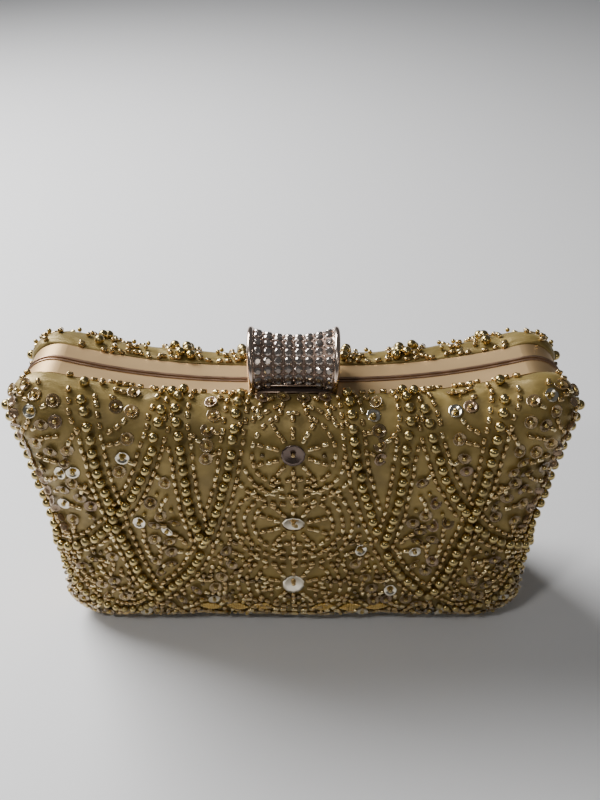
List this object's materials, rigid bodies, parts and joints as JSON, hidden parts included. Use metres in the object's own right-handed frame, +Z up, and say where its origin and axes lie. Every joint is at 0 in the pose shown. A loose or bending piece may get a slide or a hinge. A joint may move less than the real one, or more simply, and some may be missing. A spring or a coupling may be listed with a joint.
{
  "type": "evening bag",
  "caption": "Hard-case evening clutch bag: two domed padded satin halves on a rose-gold metal frame, hinged at the bottom, with a stone-set lever clasp on top.",
  "frame": {"origin": "centre of the bottom, on the surface the bag stands on, in line with the parting between the halves", "axes": "+X is the viewer's right along the frame, +Y points from the front half to the back half, +Z is up towards the clasp"},
  "size_m": [0.2074, 0.0598, 0.1307],
  "materials": {
    "satin_cover": "olive-gold satin with a fine weave",
    "foam_padding": "plain foam wadding",
    "hard_shell": "pressed board",
    "lining_cloth": "smooth satin lining",
    "frame_metal": "satin rose-gold plate",
    "clasp_metal": "polished rose-gold plate",
    "clear_stone": "clear cut stones with foil backs",
    "steel_hardware": "plated steel"
  },
  "bodies": {
    "back_half": {"back_frame": "frame_metal", "back_guide_band": "frame_metal", "back_cover": "satin_cover", "back_padding": "foam_padding", "back_shell": "hard_shell", "back_lining": "lining_cloth", "left_hinge_back_leaf": "steel_hardware", "right_hinge_back_leaf": "steel_hardware", "left_hinge_pin": "steel_hardware", "right_hinge_pin": "steel_hardware", "hinge_back_rivets": "steel_hardware", "clasp_bracket": "frame_metal", "clasp_bracket_rivets": "steel_hardware", "clasp_pin": "steel_hardware", "clasp_spring": "steel_hardware", "chain_lug_left": "steel_hardware", "chain_lug_right": "steel_hardware", "chain_lug_rivets": "steel_hardware"},
    "front_half": {"front_frame": "frame_metal", "front_cover": "satin_cover", "front_padding": "foam_padding", "front_shell": "hard_shell", "front_lining": "lining_cloth", "left_hinge_front_leaf": "steel_hardware", "right_hinge_front_leaf": "steel_hardware", "hinge_front_rivets": "steel_hardware", "catch_plate": "frame_metal", "catch_rivets": "steel_hardware"},
    "clasp": {"clasp_plate": "clasp_metal", "clasp_rhinestones": "clear_stone", "clasp_hook": "frame_metal", "clasp_hook_rivets": "steel_hardware"}
  },
  "joints": [
    {"name": "case_hinge", "type": "hinge", "parent": "back_half", "child": "front_half", "pos_m": [0, 0, 0.002], "axis": [1, 0, 0], "range_deg": [0, 80]},
    {"name": "clasp_lever", "type": "hinge", "parent": "back_half", "child": "clasp", "pos_m": [0, 0.0065, 0.114], "axis": [-1, 0, 0], "range_deg": [0, 30], "stiffness_Nm_per_rad": 0.02, "springref_deg": -17.19}
  ]
}
